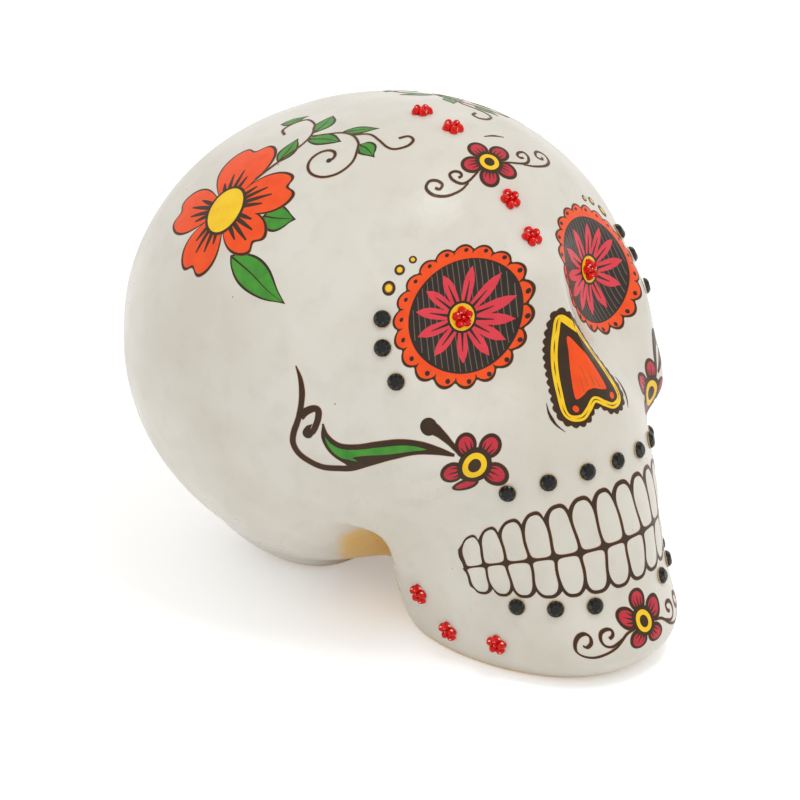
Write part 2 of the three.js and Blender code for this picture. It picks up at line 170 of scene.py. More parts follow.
def surface_normals(points):
    steps = np.eye(3) * SKIN_WALL / 10
    slopes = [skull_field(points + step) - skull_field(points - step) for step in steps]
    return as_units(np.stack(slopes, -1))


def from_heart(points):
    """The surface points straight out from the heart through the given points."""
    return surface_points(HEART, points - HEART)


# Teeth: two rows round the muzzle. Bearings in degrees are seen from the muzzle's own axis. Each line has its
# height in the middle, its tilt by the degree, and how it falls away with the square of the bearing.
TOOTH_COUNT = 7
TOOTH_PITCH = 9.2
TOOTH_MIDDLE = -1.0
TOP_LINE = (53.4, 0.022, 0.0033)
TOP_VALLEY = 2.5
BITE_LINE = (38.2, 0.0, 0.002)
LOW_LINE = (27.0, 0.0, 0.0008)
LOW_VALLEY = 1.9
TOOTH_BULGE = 0.4
TOOTH_LEAN = 3.5
WAVE_HEIGHT = 0.12


def line_height(line, bearing):
    height, tilt, fall = line
    return height + tilt * bearing - fall * bearing ** 2


def around_muzzle(bearing, height):
    """Surface points round the muzzle at bearings and heights."""
    origins = np.stack([0 * height, 0 * height + MUZZLE_AXIS, height], -1)
    return surface_points(origins, unit_from(bearing, 0 * bearing))


def relief(points):
    """How far the skin stands out from the rounded masses: teeth, shallow temples and hand-made waves."""
    x, y, z = points.T
    # Three crossed waves, 46 to 61 mm long, and bent so that they make no even grid.
    waves = np.sin(x / 7.3 + 1.1 * np.sin(z / 11.7)) * np.sin(y / 8.9 + 0.8) * np.sin(z / 9.7 + 0.4)
    bearing = np.degrees(np.arctan2(x, MUZZLE_AXIS - y))
    on_row = (np.abs(bearing - TOOTH_MIDDLE) < TOOTH_PITCH * TOOTH_COUNT) & (y < MUZZLE_AXIS)
    low, bite, top = (line_height(line, bearing) for line in (LOW_LINE, BITE_LINE, TOP_LINE))
    upper = np.clip((z - bite) / (top - bite), 0, 1)
    lower = np.clip((bite - z) / (bite - low), 0, 1)
    column = np.abs(np.sin(np.pi * (bearing - TOOTH_MIDDLE + TOOTH_LEAN * upper) / TOOTH_PITCH))
    crown = np.sin(np.pi * upper) + np.sin(np.pi * lower)
    tooth = np.where(on_row, TOOTH_BULGE * column * np.clip(crown, 0, 1), 0)
    temple = np.exp(-np.sum((fold(points) - TEMPLE_POINT) ** 2, axis=1) / (2 * TEMPLE_SPREAD ** 2))
    return WAVE_HEIGHT * waves - TEMPLE_DEPTH * temple + tooth


def seat_at(point, side=1):
    """A seat on the skull: its point, outward normal, and the directions across and up along the surface."""
    normal = surface_normals(point[None])[0]
    nearly_flat = 0.9
    hint = np.array([0.0, 1.0, 0.0]) if normal[2] > nearly_flat else np.array([0.0, 0.0, 1.0])
    up = as_units(hint - hint @ normal * normal)
    return {"point": point, "normal": normal, "up": up, "right": np.cross(up, normal), "side": side}


def aim_seat(bearing, elevation, side=1):
    return seat_at(surface_points(HEART, unit_from(bearing * side, elevation)[None])[0], side)


def eye_seat(side):
    return seat_at(from_heart((EYE_POINT * [side, 1, 1])[None])[0], side)


def beside_seat(seat, flat):
    """Surface points that lie across and up from a seat, across being outward on either side."""
    across = seat["right"] * seat["side"]
    return from_heart(seat["point"] + flat[:, :1] * across + flat[:, 1:] * seat["up"])


# The stones beside the eye sit on the temple, which dips a little.
TEMPLE_REACH = EYE_DIAMETER / 2 + 4.6
TEMPLE_POINT = beside_seat(eye_seat(1), np.array([[TEMPLE_REACH, -0.1 * TEMPLE_REACH]]))[0]
TEMPLE_SPREAD = 11.0
TEMPLE_DEPTH = 0.9


def link(name, data):
    """A new object in the scene, from a mesh, a lamp or a camera."""
    piece = bpy.data.objects.new(name, data)
    bpy.context.scene.collection.objects.link(piece)
    return piece


def stand_for(piece, node):
    """Puts a piece in the place of a CAD node."""
    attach(piece, "root")
    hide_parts(node)


def mesh_from(name, points, faces, smooth=True):
    """A mesh from points in millimetres."""
    mesh = bpy.data.meshes.new(name)
    mesh.from_pydata((np.asarray(points) * MM).tolist(), [], faces)
    mesh.validate()
    if smooth:
        mesh.shade_smooth()
    return mesh


def grid_faces(rows, columns, wrap, first=0):
    """Quads of a grid of points laid row by row, closed round its columns if wrap is set."""
    faces = []
    for row in range(rows - 1):
        for column in range(columns if wrap else columns - 1):
            beside = (column + 1) % columns
            near = first + row * columns
            far = near + columns
            faces.append((near + column, near + beside, far + beside, far + column))
    return faces


def srgb(red, green, blue):
    """A colour as it looks on a screen, from 0 to 255, turned into the linear values that shaders take."""
    shares = np.array([red, green, blue]) / 255
    linear = np.where(shares <= 0.04045, shares / 12.92, ((shares + 0.055) / 1.055) ** 2.4)
    return (*linear.tolist(), 1.0)


def add_node(tree, kind, inputs, **settings):
    """Adds a shader node. Its inputs, by name or number, take plain values or other nodes' outputs."""
    node = tree.nodes.new(f"ShaderNode{kind}")
    for setting, value in settings.items():
        setattr(node, setting, value)
    for key, value in inputs.items():
        if isinstance(value, bpy.types.NodeSocket):
            tree.links.new(value, node.inputs[key])
        else:
            node.inputs[key].default_value = value
    return node


class Shader:
    """A node material built round one Principled shader, with its textures in the part's own space."""

    def __init__(self, name, roughness, specular=0.5):
        self.material = bpy.data.materials.new(name)
        self.material.use_nodes = True
        self.tree = self.material.node_tree
        self.principled = self.tree.nodes["Principled BSDF"]
        self.principled.inputs["Roughness"].default_value = roughness
        self.principled.inputs["Specular IOR Level"].default_value = specular
        self.space = add_node(self.tree, "TexCoord", {}).outputs["Object"]

    def feed(self, socket, value):
        """Leads a node's output into the Principled shader."""
        self.tree.links.new(value, self.principled.inputs[socket])

    def noise(self, size_mm, detail=3.0, low=0.35, high=0.65):
        """Cloudy noise of a given size, spread from 0 to 1 between two levels."""
        inputs = {"Vector": self.space, "Scale": 1 / (size_mm * MM), "Detail": detail}
        return self.spread(add_node(self.tree, "TexNoise", inputs).outputs["Fac"], low, high)

    def spread(self, value, low, high, start=0.0, end=1.0):
        inputs = {"Value": value, "From Min": low, "From Max": high, "To Min": start, "To Max": end}
        return add_node(self.tree, "MapRange", inputs).outputs["Result"]

    def mix(self, factor, first, second):
        """A colour between two others. Either may be a colour or another node's output."""
        first, second = (srgb(*side) if isinstance(side, tuple) else side for side in (first, second))
        return add_node(self.tree, "Mix", {0: factor, 6: first, 7: second}, data_type="RGBA").outputs[2]

    def maths(self, first, second, operation="MULTIPLY"):
        return add_node(self.tree, "Math", {0: first, 1: second}, operation=operation).outputs["Value"]

    def attribute(self, name):
        return add_node(self.tree, "Attribute", {}, attribute_name=name).outputs["Fac"]

    def specks(self, spacing_mm, radius_share, kept_share):
        """Scattered round specks, 1 inside them: a few of the cells of a Voronoi pattern."""
        cells = add_node(self.tree, "TexVoronoi", {"Vector": self.space, "Scale": 1 / (spacing_mm * MM)})
        near = self.maths(cells.outputs["Distance"], radius_share, "LESS_THAN")
        chosen = self.maths(cells.outputs["Color"], kept_share, "LESS_THAN")
        return self.maths(near, chosen)

    def bump(self, height, depth_mm):
        bump = add_node(self.tree, "Bump", {"Height": height, "Distance": depth_mm * MM})
        self.feed("Normal", bump.outputs["Normal"])


def make_skin_paint():
    """Ivory paint with faint grey clouds and a few dark specks, over an amber body."""
    shader = Shader("painted_skin", 0.32, 0.5)
    paint = shader.mix(shader.noise(30, 4), (214, 208, 194), (224, 219, 207))
    paint = shader.mix(shader.maths(shader.noise(7, 5, 0.5, 0.8), 0.35), paint, (198, 191, 177))
    paint = shader.mix(shader.specks(6.5, 0.04, 0.25), paint, (138, 126, 112))
    ragged = shader.maths(shader.noise(5, 4, 0.2, 0.8), 0.4)
    ragged = shader.maths(ragged, shader.attribute("bare"), "ADD")
    amber = shader.mix(shader.noise(9, 4), (224, 178, 88), (232, 192, 112))
    shader.feed("Base Color", shader.mix(shader.spread(ragged, 0.35, 1.1), paint, amber))
    shader.feed("Roughness", shader.spread(shader.noise(12, 4), 0, 1, 0.27, 0.38))
    shader.bump(shader.noise(1.6, 3, 0.2, 0.8), 0.03)
    return shader.material


def make_ink(name, main, deep):
    """Printed ink: its colour clouds a little toward a deeper one, with the fine grain of the print."""
    roughness = 0.34
    shader = Shader(name, roughness, 0.25)
    cloud = shader.mix(shader.noise(3.5, 4, 0.35, 0.8), main, deep)
    grain = shader.maths(shader.noise(0.45, 2, 0.3, 0.7), 0.25)
    shader.feed("Base Color", shader.mix(grain, cloud, deep))
    shader.feed("Roughness", shader.spread(shader.noise(2, 3), 0, 1, roughness - 0.06, roughness + 0.08))
    shader.bump(shader.noise(0.8, 3, 0.2, 0.8), 0.01)
    return shader.material


INK_COLOURS = {
    "orange": ((250, 88, 26), (238, 72, 20)),
    "yellow": ((253, 210, 34), (244, 190, 26)),
    "green": ((78, 158, 52), (56, 128, 44)),
    "rose": ((230, 68, 80), (218, 56, 70)),
    "red": ((206, 54, 68), (178, 38, 56)),
    "brown": ((62, 42, 22), (50, 34, 18)),
    "dark": ((50, 40, 32), (40, 32, 26)),
    "stripe": ((118, 106, 92), (98, 87, 75)),
    "copper": ((160, 100, 56), (138, 86, 48)),
}
INKS = {ink: make_ink(f"{ink}_print", *colours) for ink, colours in INK_COLOURS.items()}


def make_foam():
    shader = Shader("bare_foam", 0.85, 0.2)
    body = shader.mix(shader.noise(7, 5), (190, 146, 76), (212, 176, 110))
    shader.feed("Base Color", shader.mix(shader.specks(1.4, 0.28, 0.6), body, (150, 108, 52)))
    shader.bump(shader.noise(0.9, 4, 0.2, 0.8), 0.25)
    return shader.material


def make_gem_glass(name, dark, bright, painted_glint):
    """Foil-backed cut glass with painted reflections: each facet has its own painted brightness, kept on the
    mesh. Over 1 a facet shows a painted glint.
    """
    shader = Shader(name, 0.06, 0.22)
    facet = shader.attribute("facet")
    # The facet value, roughened by noise, is a painted reflection: it picks between the dark, shaded colour
    # and the bright, lit one.
    painted_reflection = shader.maths(facet, shader.noise(0.8, 2, -0.2, 0.5))
    glass = shader.mix(shader.spread(painted_reflection, 0, 1), dark, bright)
    # Facets valued over 1 take the last colour, a painted glint.
    shader.feed("Base Color", shader.mix(shader.spread(facet, 1, 2), glass, painted_glint))
    return shader.material


def set_values(mesh, name, domain, values):
    """Keeps a value on each point or face of a mesh, for its material to read."""
    mesh.attributes.new(name, "FLOAT", domain).data.foreach_set("value", values)


def make_glue():
    shader = Shader("amber_glue", 0.3, 0.4)
    shader.feed("Base Color", shader.mix(shader.noise(1.2, 2), (186, 146, 88), (206, 176, 124)))
    return shader.material


def ball(rows, columns, depth):
    """The skull's surface, or a deeper one, drawn out from the heart with its poles fore and aft."""
    polar = np.linspace(0, np.pi, rows + 2)[1:-1]
    turn = np.linspace(0, 2 * np.pi, columns, endpoint=False)
    across = np.sin(polar)[:, None] * np.cos(turn)
    rise = np.sin(polar)[:, None] * np.sin(turn)
    ahead = -np.cos(polar)[:, None] + 0 * turn
    directions = np.concatenate([np.stack([across, ahead, rise], -1).reshape(-1, 3), [[0, -1, 0], [0, 1, 0]]])
    points = surface_points(HEART, directions, depth)
    faces = [face[::-1] for face in grid_faces(rows, columns, True)]
    front = rows * columns
    for column in range(columns):
        beside = (column + 1) % columns
        last = (rows - 1) * columns
        faces.append((front, column, beside))
        faces.append((front + 1, last + beside, last + column))
    return points, faces


def fade(value, start, end):
    """Goes evenly from 0 at start to 1 at end."""
    return np.clip((value - start) / (end - start), 0, 1)


def bare_amount(points):
    """Where the paint misses the amber body: in the recess behind the jaw, and along the bottom edge."""
    across, back, up = fold(points).T
    # In the recess the paint ends along an upright plane that stands slanting to the head.
    slanting = 0.74 * across + 0.67 * back
    recess = fade(slanting, 25.5, 21) * fade(up, 33, 27) * fade(back, -22, -17)
    bottom_edge = fade(up, 1.4, 0.2)
    return np.maximum(recess, bottom_edge)


def make_skin():
    """The painted skin: a fine outer surface with its relief, an inner wall, and a flat rim to stand on."""
    outer, outer_faces = ball(300, 440, 0)
    amount = bare_amount(outer)
    outer = outer + surface_normals(outer) * relief(outer)[:, None]
    inner, inner_faces = ball(48, 72, SKIN_WALL)
    first = len(outer)
    faces = outer_faces + [tuple(first + corner for corner in face[::-1]) for face in inner_faces]
    mesh = mesh_from("skull_skin_painted", np.concatenate([outer, inner]), faces)
    set_values(mesh, "bare", "POINT", np.concatenate([amount, np.ones(len(inner))]))
    shape = bmesh.new()
    shape.from_mesh(mesh)
    everything = shape.verts[:] + shape.edges[:] + shape.faces[:]
    ground = {"plane_co": (0, 0, 0), "plane_no": (0, 0, 1)}
    cut = bmesh.ops.bisect_plane(shape, geom=everything, clear_inner=True, **ground)
    rim = [edge for edge in cut["geom_cut"] if isinstance(edge, bmesh.types.BMEdge)]
    filled = bmesh.ops.triangle_fill(shape, use_beauty=True, edges=rim, normal=(0, 0, -1))
    for face in filled["geom"]:
        if isinstance(face, bmesh.types.BMFace):
            face.smooth = False
    shape.to_mesh(mesh)
    shape.free()
    mesh.materials.append(make_skin_paint())
    return link("skull_skin_painted", mesh)


class Film:
    """Printed shapes, drawn flat in millimetres and laid over the skin in thin layers."""

    base_mm = 0.06
    layer_mm = 0.02
    step_mm = 1.2
    thickness_mm = 0.1

    def __init__(self, place):
        self.place = place
        self.flat = []
        self.heights = []
        self.faces = []
        self.inks = []
        self.count = 0

    def add_grid(self, grid, wrap, ink, layer):
        """Adds a grid of flat points, with rows and columns, as one inked patch."""
        rows, columns = grid.shape[:2]
        self.faces += grid_faces(rows, columns, wrap, self.count)
        self.inks += [ink] * (len(self.faces) - len(self.inks))
        self.flat.append(grid.reshape(-1, 2))
        self.heights.append(np.full(rows * columns, self.base_mm + layer * self.layer_mm))
        self.count += rows * columns

    def fill(self, outline, ink, layer, centre=None, hole=0.0):
        """Fills a closed outline that can all be seen from its centre. hole is a share of it left open."""
        outline = np.asarray(outline, float)
        middle = outline.mean(0) if centre is None else np.asarray(centre, float)
        reach = np.linalg.norm(outline - middle, axis=1).max() * (1 - hole)
        rings = math.ceil(reach / self.step_mm)
        shares = np.linspace(hole, 1, rings + 1)[:, None, None]
        self.add_grid(middle + shares * (outline - middle), True, ink, layer)

    def edged(self, outline, ink, copper, brown, *rest):
        """Fills an outline inside a brown edge with a copper fringe. outline takes how far to grow."""
        for colour, grow, layer in (("copper", copper, 0), ("brown", brown, 1), (ink, 0, 2)):
            self.fill(outline(grow), colour, layer, *rest)

    def disc(self, centre, radius, ink, layer):
        self.fill(petal_loop(centre, 0, 0, radius, radius), ink, layer, centre)

    def band(self, first, second, ink, layer):
        """Fills the area between two smooth paths that run the same way."""
        length = np.linalg.norm(np.diff(smooth_path(first), axis=0), axis=1).sum()
        count = math.ceil(length / self.step_mm) + 1
        edges = [evenly(smooth_path(path), count) for path in (first, second)]
        rows = math.ceil(np.linalg.norm(edges[1] - edges[0], axis=1).max() / self.step_mm)
        shares = np.linspace(0, 1, rows + 1)[:, None, None]
        self.add_grid(edges[0] + shares * (edges[1] - edges[0]), False, ink, layer)

    def stroke(self, points, widths, ink, layer, closed=False):
        """A line through points whose width changes from one given value to the next along it."""
        path = smooth_path(points, closed)
        widths = np.atleast_1d(widths)
        half = np.interp(np.linspace(0, 1, len(path)), np.linspace(0, 1, len(widths)), widths) / 2
        ahead = np.roll(path, -1, 0) - np.roll(path, 1, 0) if closed else np.gradient(path, axis=0)
        aside = as_units(np.stack([-ahead[:, 1], ahead[:, 0]], -1)) * half[:, None]
        columns = max(2, math.ceil(2 * half.max() / self.step_mm))
        shares = np.linspace(-1, 1, columns + 1)
        grid = path[:, None] + shares[None, :, None] * aside[:, None]
        if closed:
            grid = np.concatenate([grid, grid[:1]])
        self.add_grid(grid, False, ink, layer)

    def line(self, points, widths, layer, closed=False):
        """A brown line with the thin copper fringe that the print has along its dark lines."""
        fringe = 0.28
        widths = np.atleast_1d(widths)
        self.stroke(points, widths + fringe, "copper", layer, closed)
        self.stroke(points, widths, "brown", layer + 1, closed)

    def build(self, name, node):
        """Lays the shapes over the skin, gives them thickness, and puts them in the CAD film's place."""
        points = self.place(np.concatenate(self.flat))
        normals = surface_normals(points)
        stand = relief(points) + np.concatenate(self.heights)
        points = points + normals * stand[:, None]
        corners = np.array(self.faces)
        spans = points[corners]
        facing = np.cross(spans[:, 2] - spans[:, 0], spans[:, 3] - spans[:, 1])
        outward = np.sum(facing * normals[corners[:, 0]], axis=1) >= 0
        faces = [face if good else face[::-1] for face, good in zip(self.faces, outward)]
        mesh = mesh_from(name, points, faces)
        used = sorted(set(self.inks))
        for ink in used:
            mesh.materials.append(INKS[ink])
        mesh.polygons.foreach_set("material_index", [used.index(ink) for ink in self.inks])
        shape = bmesh.new()
        shape.from_mesh(mesh)
        bmesh.ops.remove_doubles(shape, verts=shape.verts, dist=1e-8)
        for edge in shape.edges:
            edge.smooth = not edge.is_boundary
        shape.to_mesh(mesh)
        shape.free()
        piece = link(name, mesh)
        solid = piece.modifiers.new("print_thickness", "SOLIDIFY")
        solid.thickness = self.thickness_mm * MM
        solid.offset = -1
        stand_for(piece, node)


def smooth_path(points, closed=False, step=0.6):
    """A smooth curve through points, sampled about every step millimetres."""
    points = np.asarray(points, float)
    if closed:
        points = np.concatenate([points[-1:], points, points[:2]])
    else:
        points = np.concatenate([2 * points[:1] - points[1:2], points, 2 * points[-1:] - points[-2:-1]])
    path = []
    for before, start, end, after in zip(points[:-3], points[1:-2], points[2:-1], points[3:]):
        count = max(2, math.ceil(np.linalg.norm(end - start) / step))
        share = np.linspace(0, 1, count, endpoint=False)[:, None]
        bend = 2 * before - 5 * start + 4 * end - after
        swing = -before + 3 * start - 3 * end + after
        path.append(0.5 * (2 * start + (end - before) * share + bend * share ** 2 + swing * share ** 3))
    if not closed:
        path.append(points[-2:-1])
    return np.concatenate(path)


def evenly(path, count):
    """A path sampled again at equal distances along it."""
    steps = np.linalg.norm(np.diff(path, axis=0), axis=1)
    along = np.concatenate([[0], np.cumsum(steps)])
    wanted = np.linspace(0, along[-1], count)
    return np.stack([np.interp(wanted, along, path[:, axis]) for axis in range(2)], -1)


def mirrored(half):
    """A closed outline from the half of it on the outward side, given from its top to its bottom."""
    half = np.asarray(half, float)
    return np.concatenate([half * [-1, 1], half[-2:0:-1]])


def scalloped(path, pitch, depth):
    """A closed path, run anticlockwise, pushed outward in joined round lobes."""
    ahead = np.roll(path, -1, 0) - path
    steps = np.linalg.norm(ahead, axis=1)
    along = np.concatenate([[0], np.cumsum(steps)[:-1]])
    lobes = round(steps.sum() / pitch)
    outward = np.stack([ahead[:, 1], -ahead[:, 0]], -1) / steps[:, None]
    return path + outward * depth * np.abs(np.sin(np.pi * lobes * along / steps.sum()))[:, None]


def toward(turn):
    """Flat directions at turns in radians."""
    return np.stack([np.cos(turn), np.sin(turn)], -1)


def spoke(centre, angle, start, end):
    """Two points along a direction from a centre."""
    return centre + np.outer([start, end], toward(math.radians(angle)))


def seat_place(seat, stretch=(1, 1)):
    """Lays flat shapes out round a seat, stretched a little where the print is."""
    return lambda flat: beside_seat(seat, flat * stretch)


def petal_loop(centre, angle, middle, half_length, half_width):
    """A rounded petal: an oval whose long axis points away from the flower's centre."""
    ahead = toward(math.radians(angle))
    aside = np.array([-ahead[1], ahead[0]])
    least_count, count_per_mm = 16, 7
    count = max(least_count, math.ceil(count_per_mm * max(half_length, half_width)))
    sweep = np.linspace(0, 2 * np.pi, count, endpoint=False)[:, None]
    start = centre + middle * ahead
    return start + half_length * np.cos(sweep) * ahead + half_width * np.sin(sweep) * aside


EVEN_PETALS = 72 * np.arange(5)


def draw_blossom(film, centre, angles, middle, ring=1.0):
    """A printed flower of red petals round a yellow ring, all edged in brown."""
    half_length, half_width = 2.4, 2.1
    for angle in angles:
        def petal(grow):
            return petal_loop(centre, angle, middle, half_length + grow, half_width + grow)

        film.edged(petal, "red", 1.05, 0.95)
        for lean, reach in ((-13, 0.4), (0, 1.1), (13, 0.4)):
            fold_line = spoke(centre, angle + lean, middle - half_length, middle + reach)
            film.stroke(fold_line, [0.8, 0.1], "brown", 3)
    for radius, ink, layer in ((4.9, "brown", 4), (3.5, "yellow", 5), (1.9, "brown", 6)):
        film.disc(centre, radius * ring, ink, layer)


def make_forehead_flower():
    """A red flower between pairs of scrolls; the pair on one side is drawn larger than on the other."""
    film = Film(seat_place(aim_seat(0, 79), (1, 0.86)))
    small = [(-4.3, -1.6), (-8.6, -3), (-11, -2.5), (-12.4, -0.1), (-12.1, 2), (-10.4, 2), (-9.2, 0.7),
             (-9.5, -0.5), (-10.6, -0.5)]
    large = [(-9, -3.5), (-12.4, -4.3), (-16.8, -3.4), (-19.9, -0.6), (-20.5, 2.7), (-18.5, 4), (-16.5, 2.7),
             (-15.8, 0.5), (-17.3, -0.3), (-18.2, 1)]
    for mirror in ((1, 1), (-1.3, 0.9)):
        film.line(np.array(small) * mirror, [0.4, 0.75, 0.65], 0)
        film.line(np.array(large) * mirror, [0.4, 0.85, 0.7], 0)
    film.line([(6.1, 10.4), (9.6, 10.1), (12.9, 9.1)], [0.1, 0.7, 0.1], 0)
    draw_blossom(film, (0.8, 0.1), 22 + EVEN_PETALS, 5.5, 0.84)
    film.build("forehead_flower_print", "forehead_flower")


def make_chin_flower():
    place = around_muzzle(np.array([0.0]), np.array([14.5]))[0]
    film = Film(seat_place(seat_at(place), (0.92, 0.97)))
    small = [(-6.9, 0), (-10.1, -2.6), (-12.8, -4.7), (-14.9, -4.8), (-15.7, -3.2), (-15, -1), (-13, 0.5),
             (-11.5, 0.5), (-11.7, -0.9), (-13, -2.1)]
    large = [(-4, 1), (-7.6, -0.5), (-11.9, -5.3), (-15.1, -8.5), (-18.9, -11.8), (-22.4, -13.1),
             (-24.2, -12.1), (-23.9, -8.8), (-22.3, -5.5), (-20.1, -3.4), (-18.7, -3.6), (-18.9, -5.7),
             (-20.6, -8.2), (-21.6, -8.1)]
    for mirror in (1, -1):
        film.line(np.array(small) * [mirror, 1], [0.4, 0.8, 0.65], 0)
        film.line(np.array(large) * [mirror, 1], [0.45, 0.9, 0.75], 0)
    draw_blossom(film, (-0.1, 2.0), 18 + EVEN_PETALS, 5.8, 0.82)
    film.build("chin_flower_print", "chin_flower")


def draw_cheek_flower(film):
    film.line([(4.4, 4.2), (8.5, 8.6), (11.4, 11.2), (13.2, 12.3)], [1.0, 1.3, 2.3, 3.7], 0)
    film.fill(petal_loop((13.9, 12.6), 40, 0, 2.9, 2.5), "brown", 1)
    film.edged(lambda grow: petal_loop((2.9, -5.6), -17, 0, 3.0 + grow, 1.1 + grow), "red", 1.0, 0.9)
    draw_blossom(film, (0.4, 0.1), (-9, 68, 134, 207), 6.4)


def draw_cheek_leaf(film):
    """A long green leaf on a brown swoop that turns up into a spike, with a hook."""
    upper = [(1.1, 3.9), (-0.4, 0.8), (-3.5, -1.3), (-8.2, -1.1), (-13.6, 0.4), (-19.7, 1.8), (-25.3, 1.7),
             (-30.2, 0.3), (-34.1, -1.5)]
    root = [(1.1, 3.9), (1.5, 0.5), (0.6, -2.3), (-1.4, -5), (-4.8, -7.1), (-6.7, -8)]
    tail = [(-12, -5.5), (-17.5, -3), (-23.5, -1), (-29.1, -0.8), (-34.1, -1.6)]
    swoop = [(7.2, 6.6), (8.1, 3.2), (9, 0.4), (9.3, -2.6), (8, -5.4), (5.4, -7.4), (1.6, -8.9),
             (-3.1, -8.7), (-6.7, -8)]
    green_upper = [(0.5, 0.4), (-1.2, -1.6), (-4.2, -2.7), (-8.9, -2.2), (-13.6, -1), (-19.7, 0.4),
                   (-23.5, 0.6), (-26.6, 0)]
    green_lower = [(0.5, 0.4), (-0.2, -1.9), (-2.2, -4.4), (-4.9, -5.6), (-7.3, -4.6), (-10.5, -3.7),
                   (-16, -2.6), (-22, -1), (-26.7, -0.1)]
    spike = [(10.3, 19.6), (8.4, 16.1), (7.3, 12.1), (7.2, 8.4), (7.6, 5.1)]
    hook = [(7.3, 5.1), (5.9, 6.7), (3.8, 7.9), (2.5, 7.6), (2.3, 5.7), (2.9, 3.2), (3.8, 1.3), (5, 0.6)]
    film.band(upper, root + tail, "brown", 1)
    film.band(green_upper, green_lower, "green", 2)
    film.stroke([(-4.6, -4.4), (-6.4, -5.2), (-8.2, -5.7)], [1.4, 1.0, 0.1], "green", 2)
    film.line(upper, [0.3, 0.5, 0.3], 0)
    film.line(swoop + tail, [1.4, 1.6, 1.6, 1.4, 0.6], 0)
    film.line(spike, [0.1, 1.0, 1.5, 1.4, 1.4], 0)
    film.line(hook, [2.2, 1.7, 1.5, 1.4], 0)
    film.disc((5.1, 0.7), 1.45, "brown", 1)
    film.stroke([(5.4, 1.2), (4.9, 2.4), (3.9, 3.4)], [2.0, 1.3, 0.1], "brown", 1)


def draw_eye(film):
    """A scalloped orange ring with dots round a dark striped disc and twelve pointed petals."""
    scallops, phase = 19, 102
    ring_radius, lobe_height, ring_hole = 16.8, 2.0, 0.75
    disc, dots, petal_reach, heart = 15.2, 17.3, 13.3, 3.6
    ring_middle, dots_middle, disc_middle = (0.6, 0.5), (-0.1, 0.3), -0.6
    turn = np.linspace(0, 2 * np.pi, scallops * 12, endpoint=False)
    lobes = np.abs(np.cos(scallops * (turn - math.radians(phase)) / 2)) ** 0.7

    def ring(grow):
        radius = ring_radius + lobe_height * lobes + grow
        return toward(turn) * radius[:, None] * [1, 0.98] + ring_middle

    film.edged(ring, "orange", 0.8, 0.68, (0, 0), ring_hole)
    for number in range(scallops):
        angle = phase + number * 360 / scallops
        film.disc(spoke(dots_middle, angle, 0, dots)[1], 0.62, "dark", 4)
        film.stroke(spoke(ring_middle, angle + 180 / scallops, 16.2, 17.6), [0.1, 0.75], "brown", 3)
    film.fill(petal_loop((disc_middle, -0.1), 0, 0, disc + 0.4, disc - 0.3), "dark", 3)
    for across in np.linspace(-14, 14, 19):
        reach = math.sqrt((disc - 0.6) ** 2 - across ** 2)
        upright_line = np.outer([-reach, 0, reach], [0, 1]) + [across + disc_middle, 0]
        film.stroke(upright_line, 0.24, "stripe", 4)
    for angle in (15, 43, 72, 111, 147, 176, 197, 219, 243, 277, 315, 345):
        # The petals reach further toward the nose, and less far up and down.
        inward = max(0, -math.cos(math.radians(angle)))
        upright = abs(math.sin(math.radians(angle)))
        along = spoke((0, 0), angle, 3, petal_reach * (1 + 0.13 * inward - 0.08 * upright))
        film.stroke(np.linspace(*along, 9), [2.2, 2.5, 2.9, 3.0, 2.2, 0.1], "rose", 5)
        film.stroke(spoke((0, 0), angle, 4, 9.2), [0.8, 0.2], "dark", 6)
    film.disc((0, 0), heart + 0.65, "dark", 7)
    film.disc((0, 0), heart, "yellow", 8)


def draw_brow_dots(film):
    slant, length = 55, 1.45
    for place, radius in (((12.5, 20.4), 1.15), ((17.1, 18.8), 1.6), ((21.1, 14.1), 2.1)):
        for share, ink, layer in ((1, "brown", 1), (0.66, "copper", 2), (0.5, "yellow", 3)):
            film.fill(petal_loop(place, slant, 0, length * share * radius, share * radius), ink, layer)


def draw_leaf(film, path, width, layer):
    """A pointed green leaf with a brown edge and vein."""
    edge, foot_edge, tip_edge = 1.5, 0.7, 0.9
    path = evenly(smooth_path(path), 12)
    ahead = as_units(path[-1] - path[0])
    longer = np.concatenate([path[:1] - foot_edge * ahead, path[1:-1], path[-1:] + tip_edge * ahead])
    # Nothing at the foot, widest before the middle, and a point at the tip.
    swell = np.sin(np.pi * np.linspace(0, 1, 17) ** 0.8)
    film.stroke(longer, (width + edge) * swell, "brown", layer)
    film.stroke(path, width * swell, "green", layer + 1)
    film.stroke(path, [0.55, 0.35, 0.1], "brown", layer + 2)


def draw_crown_flower(film):
    """A big orange flower of five notched petals with dark strokes, a yellow middle and two leaves."""
    centre = (2.8, 0.7)
    sweep = np.linspace(-1, 1, 49)
    notch_depth, notch_width = 0.13, 0.17
    half_turn, turn_grow, bluntness = math.radians(35), 0.035, 0.36
    notch = 1 - notch_depth * np.exp(-(sweep / notch_width) ** 2)
    draw_leaf(film, [(-10.6, 4), (-14, 5), (-18.4, 7.1)], 7, -2)
    draw_leaf(film, [(-9, -9.8), (-17, -11.4), (-24, -13.7), (-29.2, -14.6)], 8.2, -2)
    for angle, reach in ((61, 25.5), (132, 20.5), (196, 17.8), (270, 20), (343, 21.5)):
        for ink, grow, layer in (("copper", 1.0, 0), ("brown", 0.85, 1), ("orange", 0, 2)):
            radius = (reach + grow) * notch * np.cos(sweep * np.pi / 2 * 0.97) ** bluntness
            turn = math.radians(angle) + sweep * (half_turn + grow * turn_grow)
            edge = toward(turn) * radius[:, None]
            shares = np.linspace(0.2, 1, 18)[:, None, None]
            film.add_grid(centre + shares * edge, False, ink, layer)
        for lean, end in ((-21, 10.5), (-9, 13), (4, 14), (16, 11.5)):
            film.stroke(spoke(centre, angle + lean, 5.5, end), [1.4, 1.2, 0.5], "brown", 3)
    film.fill(petal_loop(centre, 66, 0, 7.9, 6.3), "brown", 4)
    film.fill(petal_loop(centre, 66, 0, 7.0, 5.4), "yellow", 5)


